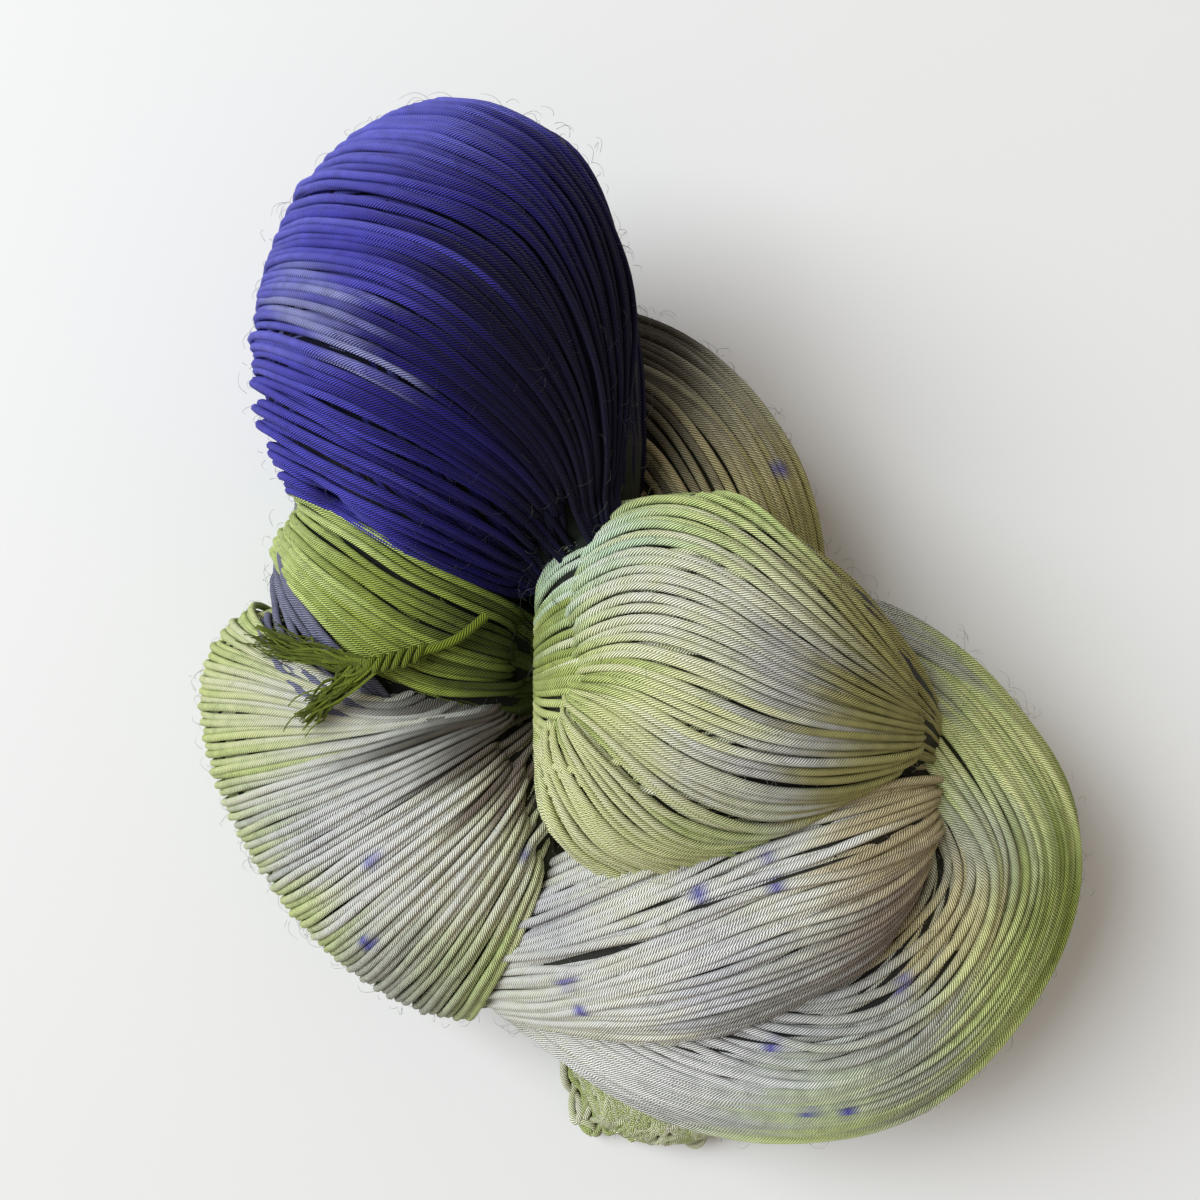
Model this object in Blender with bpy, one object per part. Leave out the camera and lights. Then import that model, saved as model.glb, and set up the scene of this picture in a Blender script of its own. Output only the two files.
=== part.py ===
"""A skein of hand-dyed yarn, twisted on itself and coiled into a bun, with its tie.

The skein is one solid: ten plump bundles of strands that bend round a middle
dimple and press into one another.  Each bundle is a row of oval sections.
The tie is a short piece of yarn knotted round one bundle, with two free tails.
Tables are in millimetres: +X right, +Y away from the viewer, +Z up, table at 0.
"""
import math

import bmesh
import bpy
from mathutils import Matrix, Vector

MM = 0.001
SECTION_SIDES = 30
SECTIONS_PER_SPAN = 2
FLAT_LEVEL = 0.6
TUBE_SIDES = 10
WELD = 0.00001

# Every bundle row: middle x, y, z, half width, half height, heading and dive.
# Heading turns the bundle about +Z from +X; dive tips it down, in degrees.

# Runs right from the dimple over the top of the bun and dives at the right tip.
CENTRE_BUNDLE = (
    (-10.1, 1.0, 44.0, 2.0, 2.0, 0, 0),
    (-15.6, 0.0, 47.0, 12.0, 10.0, 0, 0),
    (-16.6, -2.0, 49.0, 21.0, 17.0, 0, 0),
    (-10.1, -1.0, 51.0, 28.0, 24.0, -2, 0),
    (4.9, 0.5, 53.0, 31.5, 27.0, -6, 0),
    (21.9, -2.0, 51.0, 26.0, 25.0, -12, 5),
    (35.9, -6.5, 47.0, 17.0, 18.0, -20, 15),
    (43.9, -10.0, 41.0, 9.0, 11.0, -25, 35),
    (46.9, -12.0, 35.0, 3.0, 4.0, -25, 60),
)

# The tallest bundle: rises from the dimple, bends left and rolls over the side.
VIOLET_BUNDLE = (
    (-12.1, 11.0, 42.0, 3.0, 3.0, 95, 0),
    (-14.1, 18.0, 46.0, 12.0, 10.0, 100, 0),
    (-19.1, 30.0, 52.0, 22.0, 20.0, 112, 0),
    (-25.1, 46.5, 57.0, 29.0, 27.5, 126, 0),
    (-31.1, 59.0, 57.0, 33.5, 29.0, 143, 5),
    (-39.6, 60.5, 51.0, 33.5, 26.5, 160, 30),
    (-45.1, 55.5, 40.0, 32.0, 21.0, 174, 60),
    (-47.1, 49.0, 28.0, 29.0, 16.0, 182, 85),
    (-45.1, 45.0, 16.0, 22.0, 11.0, 184, 100),
)

# The narrow band that the tie holds, between the tall and the lower left bundles.
GREEN_BUNDLE = (
    (-13.1, 1.0, 40.0, 3.0, 3.0, 170, 0),
    (-19.1, 1.0, 44.0, 10.0, 9.0, 165, 0),
    (-29.1, 5.5, 46.0, 13.0, 13.0, 160, 0),
    (-40.1, 12.0, 44.0, 16.0, 16.0, 155, 5),
    (-48.1, 18.0, 37.0, 17.0, 15.0, 155, 35),
    (-51.1, 22.0, 26.0, 17.0, 12.0, 160, 75),
    (-50.1, 22.0, 14.0, 15.0, 9.0, 165, 95),
)

# A thin group of strands that shows below the green band.
GREY_BUNDLE = (
    (-17.1, -2.0, 37.0, 5.0, 5.0, 170, 0),
    (-29.1, -3.0, 39.0, 9.0, 8.0, 165, 0),
    (-42.1, 3.0, 39.0, 10.0, 9.0, 145, 0),
    (-51.6, 13.0, 35.0, 11.0, 9.0, 130, 20),
    (-55.6, 21.0, 27.0, 11.0, 9.0, 120, 60),
    (-55.6, 24.0, 16.0, 10.0, 8.0, 120, 85),
)

# The wide lower left bundle: fans out from the dimple and rolls under.
LEFT_BUNDLE = (
    (-15.1, -5.0, 34.0, 4.0, 4.0, 225, 0),
    (-21.1, -10.0, 37.0, 18.0, 14.0, 222, 0),
    (-31.1, -15.0, 36.0, 33.0, 22.0, 218, 5),
    (-41.1, -20.5, 32.0, 41.0, 25.0, 216, 15),
    (-48.6, -25.5, 26.0, 42.0, 23.0, 216, 40),
    (-51.1, -28.0, 18.0, 38.0, 18.0, 216, 70),
    (-49.1, -26.0, 9.0, 30.0, 11.0, 216, 100),
    (-42.1, -21.0, 5.0, 18.0, 7.0, 216, 130),
)

# Comes out of the right tip and crosses back to the left along the front.
INNER_BUNDLE = (
    (45.9, -17.0, 36.0, 5.0, 4.0, 160, -60),
    (42.4, -21.0, 44.0, 14.0, 11.0, 175, -35),
    (34.9, -26.0, 47.0, 20.0, 17.0, 188, -10),
    (20.9, -32.0, 47.0, 22.0, 20.0, 195, 0),
    (3.9, -40.0, 42.0, 22.0, 21.0, 200, 8),
    (-12.1, -46.0, 35.0, 18.0, 18.0, 205, 15),
    (-24.1, -50.0, 28.0, 13.0, 13.0, 210, 25),
)

# The outer turn: round the right side and the front, on the table.
OUTER_BUNDLE = (
    (20.9, 3.0, 32.0, 12.0, 12.0, -20, 0),
    (32.9, -2.0, 32.0, 18.0, 20.0, -35, 0),
    (44.9, -13.0, 29.0, 21.5, 24.0, -50, 0),
    (53.4, -30.0, 27.0, 24.5, 27.0, -82, 0),
    (45.9, -46.0, 26.5, 25.5, 27.5, -125, 0),
    (30.9, -55.0, 26.5, 27.0, 27.5, -160, 0),
    (9.9, -53.0, 25.0, 27.5, 26.0, -182, 0),
    (-10.1, -46.0, 23.0, 22.0, 23.0, -202, 0),
    (-25.1, -39.0, 20.0, 17.0, 17.0, -210, 0),
    (-34.1, -32.0, 19.0, 10.0, 12.0, -216, 0),
)

# The turn behind the centre bundle, on the table.
BACK_BUNDLE = (
    (-31.1, 47.0, 22.0, 16.0, 16.0, 10, 0),
    (-15.1, 47.0, 24.0, 19.0, 22.0, -8, 0),
    (-1.1, 41.5, 25.0, 21.0, 25.5, -32, 0),
    (9.9, 26.5, 25.0, 22.0, 26.0, -58, 0),
    (14.9, 8.0, 25.0, 19.5, 25.0, -75, 0),
    (16.9, -7.0, 23.0, 16.0, 20.0, -85, 0),
)

# The turn below the tall and the green bundles, on the table.
BASE_BUNDLE = (
    (0.9, 43.0, 12.0, 8.0, 10.0, 90, 0),
    (-8.1, 55.0, 14.0, 14.0, 15.0, 135, 0),
    (-21.1, 58.0, 16.0, 17.0, 17.5, 178, 0),
    (-40.1, 45.0, 17.0, 19.0, 18.5, 225, 0),
    (-46.1, 21.0, 17.0, 18.0, 18.5, 265, 0),
    (-43.1, -1.0, 17.0, 18.0, 18.5, 285, 0),
    (-35.1, -17.0, 17.0, 16.0, 18.0, 302, 0),
    (-22.1, -28.0, 17.0, 15.0, 17.5, 340, 0),
    (-6.1, -27.0, 17.0, 15.0, 17.5, 372, 0),
    (6.9, -17.0, 17.0, 13.0, 16.0, 405, 0),
)

# Slack loops that slip out on the table below the front of the bun.
SLACK_BUNDLE = (
    (-11.1, -73.0, 5.0, 5.0, 4.0, 0, 0),
    (-5.1, -78.0, 6.0, 9.0, 6.5, -10, 0),
    (5.9, -80.0, 6.0, 11.0, 7.0, -5, 0),
    (15.9, -79.0, 6.0, 9.0, 6.5, 5, 0),
    (21.9, -75.0, 5.0, 5.0, 4.0, 10, 0),
)

# The tie, row by row: x, y, z and radius.  A plied strand, the knot, the upper tail.
TIE_STRAND = (
    (-25.1, 9.8, 58.2, 0.75),
    (-28.6, 6.8, 60.5, 0.75),
    (-31.5, 5.4, 61.0, 0.75),
    (-34.0, 4.6, 61.1, 0.8),
    (-36.6, 3.6, 61.4, 1.4),
    (-40.0, 2.7, 60.9, 1.7),
    (-44.3, 1.9, 59.2, 1.7),
    (-49.0, 2.0, 56.0, 1.5),
    (-55.4, 5.0, 51.9, 1.4),
    (-59.6, 6.7, 49.4, 1.7),
    (-63.6, 8.0, 46.6, 1.3),
)

# The lower tail leaves the knot and hangs towards the viewer.
TIE_LOWER_TAIL = (
    (-45.6, 1.8, 58.4, 0.9),
    (-49.4, 0.4, 56.4, 1.3),
    (-52.4, -2.0, 56.2, 1.6),
    (-54.6, -5.6, 56.6, 1.9),
    (-55.4, -8.8, 56.6, 1.4),
)

BUNDLES = (
    CENTRE_BUNDLE,
    VIOLET_BUNDLE,
    GREEN_BUNDLE,
    GREY_BUNDLE,
    LEFT_BUNDLE,
    INNER_BUNDLE,
    OUTER_BUNDLE,
    BACK_BUNDLE,
    BASE_BUNDLE,
    SLACK_BUNDLE,
)


def blend(rows, span, part):
    """One row between rows[span] and rows[span + 1] on a smooth curve through all rows."""
    before = rows[max(span - 1, 0)]
    start = rows[span]
    end = rows[span + 1]
    after = rows[min(span + 2, len(rows) - 1)]
    result = []
    for a, b, c, d in zip(before, start, end, after):
        linear = c - a
        square = 2.0 * a - 5.0 * b + 4.0 * c - d
        cube = 3.0 * (b - c) + d - a
        result.append(b + 0.5 * part * (linear + part * (square + part * cube)))
    return result


def smooth_rows(rows, steps):
    """The rows with steps - 1 more rows blended into every span."""
    result = []
    for span in range(len(rows) - 1):
        for step in range(steps):
            result.append(blend(rows, span, step / steps))
    result.append(list(rows[-1]))
    return result


def section_points(row, sides):
    """Points of one oval section, in metres."""
    x, y, z, half_width, half_height, heading, dive = row
    turn = math.radians(heading)
    tip = math.radians(dive)
    along = Vector((math.cos(turn) * math.cos(tip), math.sin(turn) * math.cos(tip), -math.sin(tip)))
    across = Vector((-math.sin(turn), math.cos(turn), 0.0))
    upward = along.cross(across)
    middle = Vector((x, y, z))
    points = []
    for side in range(sides):
        angle = 2.0 * math.pi * side / sides
        offset = across * (half_width * math.cos(angle)) + upward * (half_height * math.sin(angle))
        points.append((middle + offset) * MM)
    return points


def solid_from_sections(name, sections):
    """A closed solid: neighbouring sections are bridged and both ends are capped by a fan."""
    shape = bmesh.new()
    rings = []
    for points in sections:
        rings.append([shape.verts.new(point) for point in points])
    sides = len(rings[0])
    for lower, upper in zip(rings, rings[1:]):
        for side in range(sides):
            after = (side + 1) % sides
            shape.faces.new((lower[side], lower[after], upper[after], upper[side]))
    for ring in (rings[0], rings[-1]):
        middle = sum((vert.co for vert in ring), Vector()) / sides
        tip = shape.verts.new(middle)
        for side in range(sides):
            shape.faces.new((ring[side], ring[(side + 1) % sides], tip))
    bmesh.ops.recalc_face_normals(shape, faces=shape.faces)
    mesh = bpy.data.meshes.new(name)
    shape.to_mesh(mesh)
    shape.free()
    solid = bpy.data.objects.new(name, mesh)
    bpy.context.collection.objects.link(solid)
    return solid


def bundle_solid(name, rows):
    """One bundle of the skein as a closed solid."""
    sections = []
    for row in smooth_rows(rows, SECTIONS_PER_SPAN):
        sections.append(section_points(row, SECTION_SIDES))
    return solid_from_sections(name, sections)


def tube_solid(name, rows):
    """A round cord through the rows of x, y, z and radius."""
    path = smooth_rows(rows, SECTIONS_PER_SPAN)
    sections = []
    for index, row in enumerate(path):
        behind = Vector(path[max(index - 1, 0)][:3])
        ahead = Vector(path[min(index + 1, len(path) - 1)][:3])
        along = (ahead - behind).normalized()
        across = along.cross(Vector((0.0, 0.0, 1.0))).normalized()
        upward = across.cross(along)
        points = []
        for side in range(TUBE_SIDES):
            angle = 2.0 * math.pi * side / TUBE_SIDES
            offset = across * math.cos(angle) + upward * math.sin(angle)
            points.append((Vector(row[:3]) + offset * row[3]) * MM)
        sections.append(points)
    return solid_from_sections(name, sections)


def evaluated_mesh(solid):
    """A copy of the object's mesh with its modifiers applied."""
    graph = bpy.context.evaluated_depsgraph_get()
    return bpy.data.meshes.new_from_object(solid.evaluated_get(graph))


def join_solids(base, others):
    """Join the other solids to the base, which keeps its name."""
    for other in others:
        union = base.modifiers.new("union", "BOOLEAN")
        union.operation = "UNION"
        union.solver = "EXACT"
        union.use_self = True
        union.object = other
        joined = evaluated_mesh(base)
        base.modifiers.clear()
        base.data = joined
        bpy.data.objects.remove(other)


def tidy_faces(shape):
    """Weld hairline slivers away and leave only outward triangles."""
    bmesh.ops.remove_doubles(shape, verts=shape.verts, dist=WELD)
    bmesh.ops.dissolve_degenerate(shape, dist=WELD, edges=shape.edges)
    bmesh.ops.triangulate(shape, faces=shape.faces)
    bmesh.ops.recalc_face_normals(shape, faces=shape.faces)


def rest_flat(solid, level):
    """Cut the solid off flat at the given height and close the cut."""
    shape = bmesh.new()
    shape.from_mesh(solid.data)
    everything = list(shape.verts) + list(shape.edges) + list(shape.faces)
    cut = bmesh.ops.bisect_plane(
        shape,
        geom=everything,
        dist=1e-7,
        plane_co=(0.0, 0.0, level),
        plane_no=(0.0, 0.0, -1.0),
        clear_outer=True,
    )
    rim = [piece for piece in cut["geom_cut"] if isinstance(piece, bmesh.types.BMEdge)]
    bmesh.ops.triangle_fill(shape, use_beauty=True, edges=rim)
    tidy_faces(shape)
    shape.to_mesh(solid.data)
    shape.free()


def centre_on_origin(parts):
    """Move all the parts so that the origin is at the bottom centre of their joint box."""
    corners = [vert.co for solid in parts for vert in solid.data.vertices]
    low = [min(point[axis] for point in corners) for axis in range(3)]
    high = [max(point[axis] for point in corners) for axis in range(3)]
    shift = Vector((-0.5 * (low[0] + high[0]), -0.5 * (low[1] + high[1]), -low[2]))
    for solid in parts:
        solid.data.transform(Matrix.Translation(shift))


def coloured(solid, colour):
    """Give the solid its own plain material."""
    material = bpy.data.materials.new(solid.name)
    material.use_nodes = True
    surface = material.node_tree.nodes["Principled BSDF"]
    surface.inputs["Base Color"].default_value = colour
    surface.inputs["Roughness"].default_value = 0.85
    solid.data.materials.clear()
    solid.data.materials.append(material)


for leftover in list(bpy.data.objects):
    bpy.data.objects.remove(leftover)

solids = [bundle_solid("skein", rows) for rows in BUNDLES]
skein = solids[0]
join_solids(skein, solids[1:])
rest_flat(skein, FLAT_LEVEL * MM)

tie = tube_solid("tie", TIE_STRAND)
join_solids(tie, [tube_solid("lower_tail", TIE_LOWER_TAIL)])

centre_on_origin((skein, tie))
coloured(skein, (0.45, 0.50, 0.28, 1.0))
coloured(tie, (0.17, 0.23, 0.05, 1.0))
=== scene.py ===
"""A skein of hand-dyed plied yarn, coiled into a bun on a pale table, with its knotted tie.

Lengths in the tables are millimetres, in the same frame as the solids.
The bundles of the skein are laid from single strands. Where a bundle fans out on top, its strands
lie between guide lines on the skin of the solid, and elsewhere they follow rows of oval sections.
"""
import math

import bmesh
import bpy
import numpy as np
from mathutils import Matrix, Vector
from mathutils.bvhtree import BVHTree


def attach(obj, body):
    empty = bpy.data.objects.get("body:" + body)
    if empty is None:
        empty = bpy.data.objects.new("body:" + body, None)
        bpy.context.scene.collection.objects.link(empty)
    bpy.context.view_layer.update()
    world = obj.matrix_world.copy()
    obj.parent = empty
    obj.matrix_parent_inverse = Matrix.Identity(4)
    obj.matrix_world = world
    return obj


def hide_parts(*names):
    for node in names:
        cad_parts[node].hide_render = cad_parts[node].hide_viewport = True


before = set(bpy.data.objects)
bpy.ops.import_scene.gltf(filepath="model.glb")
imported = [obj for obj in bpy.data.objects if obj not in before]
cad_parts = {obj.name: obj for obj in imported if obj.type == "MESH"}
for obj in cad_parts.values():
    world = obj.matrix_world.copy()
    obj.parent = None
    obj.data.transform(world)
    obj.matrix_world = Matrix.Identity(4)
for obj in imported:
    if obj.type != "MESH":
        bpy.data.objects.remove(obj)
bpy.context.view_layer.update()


# ---------------------------------------------------------------- camera
# A phone held flat, straight above the table, a hand's length over the bun.
# It stands a little behind and left of the bun's middle.

MM = 0.001

eye = bpy.data.cameras.new("camera")
eye.lens = 45.9
eye.sensor_width = 36.0
eye.clip_start = 0.01
camera = bpy.data.objects.new("camera", eye)
camera.location = (-7.0 * MM, 12.4 * MM, 299.4 * MM)
bpy.context.collection.objects.link(camera)
bpy.context.scene.camera = camera


# ---------------------------------------------------------------- tie
# A cut length of the same plied wool, dyed moss green, that holds the turns of the green band.
# It comes out between the strands, is knotted once, and its two cut ends untwist into brushes.

YARN_WIDTH = 1.5

# Twisted ridges round a strand, and the length in which they go round it once.
PLY_RIDGES = 8
PLY_LAY = 4.3

# Dyes on a dry, well lit strand, as red, green and blue out of 255.
DYES = {
    "white": (240, 242, 236),
    "cream": (246, 246, 214),
    "lime": (236, 247, 170),
    "leaf": (196, 212, 134),
    "moss": (142, 158, 70),
    "tie moss": (120, 136, 44),
    "olive": (162, 158, 98),
    "mint": (196, 224, 196),
    "lilac": (196, 196, 206),
    "stone": (172, 172, 166),
    "slate": (122, 124, 148),
    "tan": (196, 182, 140),
    "taupe": (136, 122, 112),
    "lavender": (146, 150, 196),
    "bright violet": (104, 104, 204),
    "violet": (74, 70, 176),
    "indigo": (34, 28, 108),
    # The last three dyes are indigo, moss and taupe darkened as painted shade, laid where the turns lie in
    # shade.
    "shaded indigo": (15, 10, 48),
    "shaded moss": (58, 70, 26),
    "shaded taupe": (74, 70, 62),
}


def linear(shade):
    """A dye's colour as light, from its value out of 255."""
    return [(channel / 255.0) ** 2.2 for channel in shade]


def yarn_tubes():
    """Node tree that gives every drawn line a round section of its own thickness."""
    tree = bpy.data.node_groups.new("yarn tubes", "GeometryNodeTree")
    tree.interface.new_socket("Geometry", in_out="INPUT", socket_type="NodeSocketGeometry")
    tree.interface.new_socket("Sides", in_out="INPUT", socket_type="NodeSocketInt")
    tree.interface.new_socket("Geometry", in_out="OUTPUT", socket_type="NodeSocketGeometry")
    start = tree.nodes.new("NodeGroupInput")
    lines = tree.nodes.new("GeometryNodeMeshToCurve")
    thickness = tree.nodes.new("GeometryNodeInputNamedAttribute")
    thickness.data_type = "FLOAT"
    thickness.inputs["Name"].default_value = "thickness"
    circle = tree.nodes.new("GeometryNodeCurvePrimitiveCircle")
    circle.inputs["Radius"].default_value = 1.0
    place = tree.nodes.new("GeometryNodeInputPosition")
    rim = tree.nodes.new("GeometryNodeStoreNamedAttribute")
    rim.data_type = "FLOAT_VECTOR"
    rim.domain = "POINT"
    rim.inputs["Name"].default_value = "rim"
    sweep = tree.nodes.new("GeometryNodeCurveToMesh")
    sweep.inputs["Fill Caps"].default_value = True
    smooth = tree.nodes.new("GeometryNodeSetShadeSmooth")
    end = tree.nodes.new("NodeGroupOutput")
    link = tree.links.new
    link(start.outputs["Geometry"], lines.inputs["Mesh"])
    link(lines.outputs["Curve"], sweep.inputs["Curve"])
    link(thickness.outputs["Attribute"], sweep.inputs["Scale"])
    link(start.outputs["Sides"], circle.inputs["Resolution"])
    link(circle.outputs["Curve"], rim.inputs["Geometry"])
    link(place.outputs["Position"], rim.inputs["Value"])
    link(rim.outputs["Geometry"], sweep.inputs["Profile Curve"])
    link(sweep.outputs["Mesh"], smooth.inputs["Geometry"])
    link(smooth.outputs["Geometry"], end.inputs["Geometry"])
    return tree


TUBES = yarn_tubes()


def wool(name, ridge_height, groove_shade):
    """Plied wool: twisted ridges round the strand, with painted shade in the grooves and a painted highlight
    on the ridges, fine fibre grain and a soft sheen.
    """
    material = bpy.data.materials.new(name)
    material.use_nodes = True
    tree = material.node_tree
    surface = tree.nodes["Principled BSDF"]
    surface.inputs["Roughness"].default_value = 0.78
    surface.inputs["Sheen Weight"].default_value = 0.05
    surface.inputs["Sheen Roughness"].default_value = 0.45
    surface.inputs["Specular IOR Level"].default_value = 0.12
    link = tree.links.new

    def attribute(label):
        node = tree.nodes.new("ShaderNodeAttribute")
        node.attribute_name = label
        return node

    def maths(operation, first, second=None):
        node = tree.nodes.new("ShaderNodeMath")
        node.operation = operation
        for socket, value in zip(node.inputs, (first, second)):
            if isinstance(value, (int, float)):
                socket.default_value = value
            elif value is not None:
                link(value, socket)
        return node.outputs["Value"]

    rim = tree.nodes.new("ShaderNodeSeparateXYZ")
    link(attribute("rim").outputs["Vector"], rim.inputs["Vector"])
    angle = maths("ARCTAN2", rim.outputs["Y"], rim.outputs["X"])
    around = maths("MULTIPLY", angle, PLY_RIDGES / 2.0)
    lengthwise = maths("MULTIPLY", attribute("along").outputs["Fac"], math.pi * PLY_RIDGES / PLY_LAY)
    phase = maths("ADD", around, lengthwise)
    ridge = maths("ABSOLUTE", maths("SINE", phase))

    place = tree.nodes.new("ShaderNodeTexCoord")
    fibre = tree.nodes.new("ShaderNodeTexNoise")
    fibre.inputs["Scale"].default_value = 2600.0
    fibre.inputs["Detail"].default_value = 2.0
    link(place.outputs["Object"], fibre.inputs["Vector"])
    height = maths("ADD", ridge, maths("MULTIPLY", fibre.outputs["Fac"], 0.35))
    bump = tree.nodes.new("ShaderNodeBump")
    bump.inputs["Strength"].default_value = 1.0
    bump.inputs["Distance"].default_value = ridge_height * MM
    link(height, bump.inputs["Height"])
    link(bump.outputs["Normal"], surface.inputs["Normal"])

    cloud = tree.nodes.new("ShaderNodeTexNoise")
    cloud.inputs["Scale"].default_value = 420.0
    cloud.inputs["Detail"].default_value = 3.0
    link(place.outputs["Object"], cloud.inputs["Vector"])
    # Painted shade and highlight: the dye is darkened in the grooves between the plies and lifted above
    # itself on the ridge tops.
    shade = tree.nodes.new("ShaderNodeMapRange")
    shade.inputs["To Min"].default_value = groove_shade
    shade.inputs["To Max"].default_value = 1.18
    link(ridge, shade.inputs["Value"])
    patchy = tree.nodes.new("ShaderNodeMapRange")
    patchy.inputs["From Min"].default_value = 0.3
    patchy.inputs["From Max"].default_value = 0.7
    patchy.inputs["To Min"].default_value = 0.84
    patchy.inputs["To Max"].default_value = 1.1
    link(cloud.outputs["Fac"], patchy.inputs["Value"])
    # The painted ridge shade and highlight, times the random patchy tone of the dye.
    light = maths("MULTIPLY", shade.outputs["Result"], patchy.outputs["Result"])
    colour = tree.nodes.new("ShaderNodeVectorMath")
    colour.operation = "SCALE"
    link(attribute("dye").outputs["Color"], colour.inputs["Vector"])
    link(light, colour.inputs["Scale"])
    lightest = tree.nodes.new("ShaderNodeVectorMath")
    lightest.operation = "MINIMUM"
    lightest.inputs[1].default_value = (0.92, 0.92, 0.92)
    link(colour.outputs["Vector"], lightest.inputs[0])
    link(lightest.outputs["Vector"], surface.inputs["Base Color"])
    return material


PLIED = wool("plied wool", 0.36, 0.34)


def along_line(points):
    """Distance of every point from the start of the line."""
    steps = np.linalg.norm(np.diff(points, axis=0), axis=1)
    return np.concatenate(([0.0], np.cumsum(steps)))


def resampled(values, marks, wanted):
    """The columns of values, given at the marks, read again at the wanted marks."""
    return np.stack([np.interp(wanted, marks, column) for column in values.T], axis=1)


def blended_rows(rows, at):
    """Rows read at fractional places on a smooth curve through all of them."""
    table = np.array(rows, dtype=float)
    last = len(table) - 1
    span = np.clip(np.floor(at).astype(int), 0, last - 1)
    part = (at - span)[:, None]
    a = table[np.maximum(span - 1, 0)]
    b = table[span]
    c = table[span + 1]
    d = table[np.minimum(span + 2, last)]
    square = 2.0 * a - 5.0 * b + 4.0 * c - d
    cube = 3.0 * (b - c) + d - a
    return b + 0.5 * part * (c - a + part * (square + part * cube))


def yarn_piece(name, strands, material, sides):
    """One mesh from strands, each of (points, half thickness, dye, length of yarn before it)."""
    places, thicknesses, dyes, marks, edges = [], [], [], [], []
    count = 0
    for points, thickness, dye, start in strands:
        size = len(points)
        places.append(points * MM)
        thicknesses.append(np.broadcast_to(thickness, size) * MM)
        dyes.append(np.broadcast_to(dye, (size, 3)))
        marks.append(start + along_line(points))
        edges.extend((count + step, count + step + 1) for step in range(size - 1))
        count += size
    drawn = bpy.data.meshes.new(name + " lines")
    drawn.from_pydata(np.concatenate(places), edges, [])
    drawn.attributes.new("thickness", "FLOAT", "POINT").data.foreach_set("value", np.concatenate(thicknesses))
    drawn.attributes.new("along", "FLOAT", "POINT").data.foreach_set("value", np.concatenate(marks))
    tint = np.concatenate(dyes)
    tint = np.concatenate((tint, np.ones((len(tint), 1))), axis=1)
    drawn.attributes.new("dye", "FLOAT_COLOR", "POINT").data.foreach_set("color", tint.ravel())
    lines = bpy.data.objects.new(name + " lines", drawn)
    bpy.context.collection.objects.link(lines)
    tubes = lines.modifiers.new("tubes", "NODES")
    tubes.node_group = TUBES
    sides_socket = TUBES.interface.items_tree["Sides"].identifier
    tubes[sides_socket] = sides
    graph = bpy.context.evaluated_depsgraph_get()
    mesh = bpy.data.meshes.new_from_object(lines.evaluated_get(graph))
    bpy.data.objects.remove(lines)
    mesh.name = name
    mesh.materials.clear()
    mesh.materials.append(material)
    piece = bpy.data.objects.new(name, mesh)
    bpy.context.collection.objects.link(piece)
    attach(piece, "root")
    return piece


def wavy(start, end, count, swing, turns, draw):
    """A kinked line between two places, as freshly untwisted plies lie."""
    part = np.linspace(0.0, 1.0, count)[:, None]
    line = np.array(start) + (np.array(end) - np.array(start)) * part
    for axis in range(3):
        phase = turns * part[:, 0] + draw.random()
        line[:, axis] += swing * part[:, 0] ** 0.5 * np.sin(2.0 * math.pi * phase)
    return line


CURVE_STEPS = 12


def rounded(points, step):
    """A smooth line through the points, with a point every step."""
    last = len(points) - 1
    line = blended_rows(points, np.linspace(0.0, last, last * CURVE_STEPS + 1))
    marks = along_line(line)
    parts = max(int(marks[-1] / step), 2)
    return resampled(line, marks, np.linspace(0.0, marks[-1], parts + 1))


ROUTE_STEP = 0.8

# The knot's two ends along the yarn, how far its coils run on, and the length of one coil.
KNOT_START = 11.5
KNOT_END = 21.0
KNOT_LAP = 2.0
KNOT_LAY = 3.4
COIL_HALF = 0.55
BRUSH_FIBRES = 120
FIBRE_POINTS = 16
FIBRE_ARCH = 1.4

# Where the fibres of each brush end, and how far they scatter there along each axis.
BRUSH_TIPS = (
    ((-53.4, -5.6, 56.6), (1.3, 1.3, 0.5)),
    ((-60.8, 5.8, 49.0), (1.5, 1.0, 0.6)),
)

tie_draw = np.random.default_rng(5)
tie_moss = np.array(linear(DYES["tie moss"]))
tie_route = rounded(
    (
        (-25.1, 9.8, 58.2),
        (-28.6, 6.8, 60.5),
        (-31.5, 5.4, 61.0),
        (-34.0, 4.6, 61.1),
        (-36.6, 3.6, 61.4),
        (-40.0, 2.7, 60.9),
        (-44.3, 1.9, 59.2),
        (-49.0, 2.0, 56.0),
        (-55.4, 5.0, 51.9),
        (-59.6, 6.7, 49.4),
        (-63.6, 8.0, 46.6),
    ),
    ROUTE_STEP,
)
route_marks = along_line(tie_route)
TIE_LENGTH = route_marks[-1]

# Half the thickness where the yarn comes out, at both ends of the knot and at the tip.
taper = np.interp(route_marks, (0.0, KNOT_START, KNOT_END, TIE_LENGTH), (0.74, 0.72, 0.5, 0.35))
tie_yarn = yarn_piece("tie_yarn", [(tie_route, taper, tie_moss, 0.0)], PLIED, 10)

coils = []
turn_marks = np.linspace(KNOT_START, KNOT_END + KNOT_LAP, 90)
middle = resampled(tie_route, route_marks, turn_marks)
swell = np.interp(turn_marks, (KNOT_START, KNOT_START + 3.0, KNOT_END + KNOT_LAP), (0.75, 1.15, 0.8))
for start_turn in (0.0, 0.5):
    turns = 2.0 * math.pi * ((turn_marks - KNOT_START) / KNOT_LAY + start_turn)
    loop = middle.copy()
    loop[:, 1] += swell * np.cos(turns)
    loop[:, 2] += swell * np.sin(turns)
    coils.append((loop, COIL_HALF, tie_moss * 0.9, 0.0))
tie_knot = yarn_piece("tie_knot", coils, PLIED, 8)

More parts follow.
